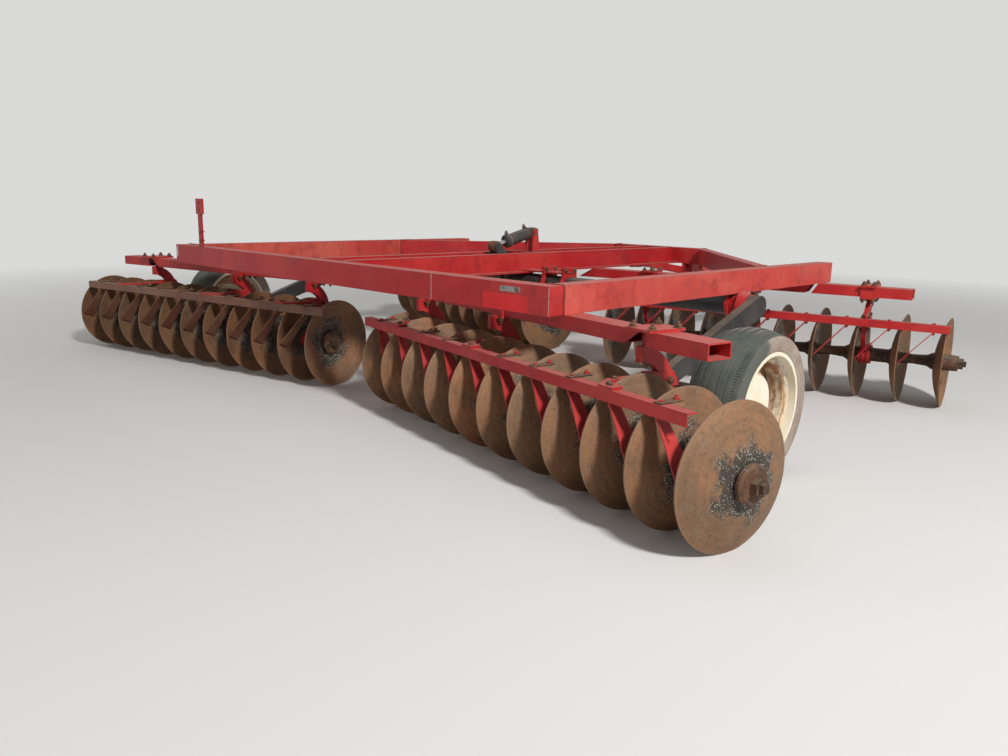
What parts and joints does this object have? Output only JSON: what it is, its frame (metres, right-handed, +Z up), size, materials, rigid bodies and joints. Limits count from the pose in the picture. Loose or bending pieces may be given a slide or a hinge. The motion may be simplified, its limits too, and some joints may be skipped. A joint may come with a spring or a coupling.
{
  "type": "tandem disc harrow",
  "caption": "Tandem disc harrow with four gangs of dished discs under a welded red frame, transport wheels on a rockshaft, a lift cylinder, a hinged tongue and a parking jack.",
  "frame": {"origin": "on the ground, under the middle of the machine's length and width", "axes": "+X to the right of travel, +Y forward to the hitch, +Z up"},
  "size_m": [5.9202, 6.0326, 1.187],
  "materials": {
    "red_paint": "weathered red paint with dust and rust",
    "faded_red_paint": "sun-faded red paint with dust",
    "disc_steel": "rusty brown disc steel with dry soil",
    "rusty_iron": "rusty cast iron",
    "black_paint": "worn black paint",
    "cream_paint": "cream paint with rust",
    "tyre_rubber": "dusty weathered rubber",
    "bare_steel": "dull bare steel"
  },
  "bodies": {
    "frame": {"rear_cross_beam": "red_paint", "right_side_rail": "faded_red_paint", "left_side_rail": "faded_red_paint", "right_inner_rail": "red_paint", "left_inner_rail": "red_paint", "centre_cross_beam": "red_paint", "front_cross_beam": "red_paint", "right_front_brace": "red_paint", "left_front_brace": "red_paint", "rockshaft_bearings": "red_paint", "light_bracket": "red_paint", "rear_right_support_beam": "red_paint", "rear_left_support_beam": "red_paint", "front_right_support_beam": "red_paint", "front_left_support_beam": "red_paint", "rear_right_hangers": "red_paint", "rear_left_hangers": "red_paint", "front_right_hangers": "red_paint", "front_left_hangers": "red_paint", "rear_right_scrapers": "red_paint", "rear_left_scrapers": "red_paint", "front_right_scrapers": "red_paint", "front_left_scrapers": "red_paint"},
    "rear_right_gang": {"rear_right_discs": "disc_steel", "rear_right_axle": "rusty_iron"},
    "rear_left_gang": {"rear_left_discs": "disc_steel", "rear_left_axle": "rusty_iron"},
    "front_right_gang": {"front_right_discs": "disc_steel", "front_right_axle": "rusty_iron"},
    "front_left_gang": {"front_left_discs": "disc_steel", "front_left_axle": "rusty_iron"},
    "rockshaft": {"rockshaft": "black_paint", "right_wheel_arm": "black_paint", "left_wheel_arm": "black_paint"},
    "right_wheel": {"right_rim": "cream_paint", "right_tyre": "tyre_rubber"},
    "left_wheel": {"left_rim": "cream_paint", "left_tyre": "tyre_rubber"},
    "lift_barrel": {"cylinder_barrel": "black_paint"},
    "lift_rod": {"cylinder_rod": "bare_steel"},
    "tongue": {"tongue": "red_paint"},
    "levelling_rod": {"levelling_rod": "rusty_iron"},
    "jack_tube": {"jack_tube": "faded_red_paint"},
    "jack_leg": {"jack_leg": "bare_steel"}
  },
  "joints": [
    {"name": "rear_right_gang_spin", "type": "hinge", "parent": "frame", "child": "rear_right_gang", "pos_m": [0.365, -2.2436, 0.28], "axis": [0.9799, -0.1994, 0], "continuous": true},
    {"name": "front_right_gang_spin", "type": "hinge", "parent": "frame", "child": "front_right_gang", "pos_m": [0.365, -0.1496, 0.28], "axis": [0.9799, 0.1994, 0], "continuous": true},
    {"name": "rear_left_gang_spin", "type": "hinge", "parent": "frame", "child": "rear_left_gang", "pos_m": [-0.365, -2.2436, 0.28], "axis": [0.9799, 0.1994, 0], "continuous": true},
    {"name": "front_left_gang_spin", "type": "hinge", "parent": "frame", "child": "front_left_gang", "pos_m": [-0.365, -0.1496, 0.28], "axis": [0.9799, -0.1994, 0], "continuous": true},
    {"name": "rockshaft_lift", "type": "hinge", "parent": "frame", "child": "rockshaft", "pos_m": [0, -0.9796, 0.66], "axis": [1, 0, 0], "range_deg": [-8, 18]},
    {"name": "right_wheel_spin", "type": "hinge", "parent": "rockshaft", "child": "right_wheel", "pos_m": [2.418, -1.9296, 0.344], "axis": [1, 0, 0], "continuous": true},
    {"name": "left_wheel_spin", "type": "hinge", "parent": "rockshaft", "child": "left_wheel", "pos_m": [-2.418, -1.9296, 0.344], "axis": [1, 0, 0], "continuous": true},
    {"name": "lift_barrel_tilt", "type": "hinge", "parent": "frame", "child": "lift_barrel", "pos_m": [0, -0.7796, 1], "axis": [1, 0, 0], "range_deg": [-4, 7]},
    {"name": "lift_rod_stroke", "type": "slide", "parent": "lift_barrel", "child": "lift_rod", "axis": [0, -0.9701, -0.2425], "range_m": [-0.045, 0.095]},
    {"name": "tongue_hinge", "type": "hinge", "parent": "frame", "child": "tongue", "pos_m": [0, 0.9904, 0.691], "axis": [1, 0, 0], "range_deg": [-4, 8]},
    {"name": "levelling_rod_tilt", "type": "hinge", "parent": "frame", "child": "levelling_rod", "pos_m": [0, 0.9804, 0.793], "axis": [1, 0, 0], "range_deg": [-5, 9]},
    {"name": "jack_swing", "type": "hinge", "parent": "tongue", "child": "jack_tube", "pos_m": [-0.175, 2.6404, 0.455], "axis": [1, 0, 0], "range_deg": [0, 90]},
    {"name": "jack_stroke", "type": "slide", "parent": "jack_tube", "child": "jack_leg", "axis": [0, 0, 1], "range_m": [0, 0.2]}
  ],
  "couplings": [
    {"joint": "lift_barrel_tilt", "follows": "rockshaft_lift", "ratio": 0.3176},
    {"joint": "lift_rod_stroke", "follows": "rockshaft_lift", "m_per_rad": 0.2737},
    {"joint": "levelling_rod_tilt", "follows": "tongue_hinge", "ratio": 0.96}
  ]
}
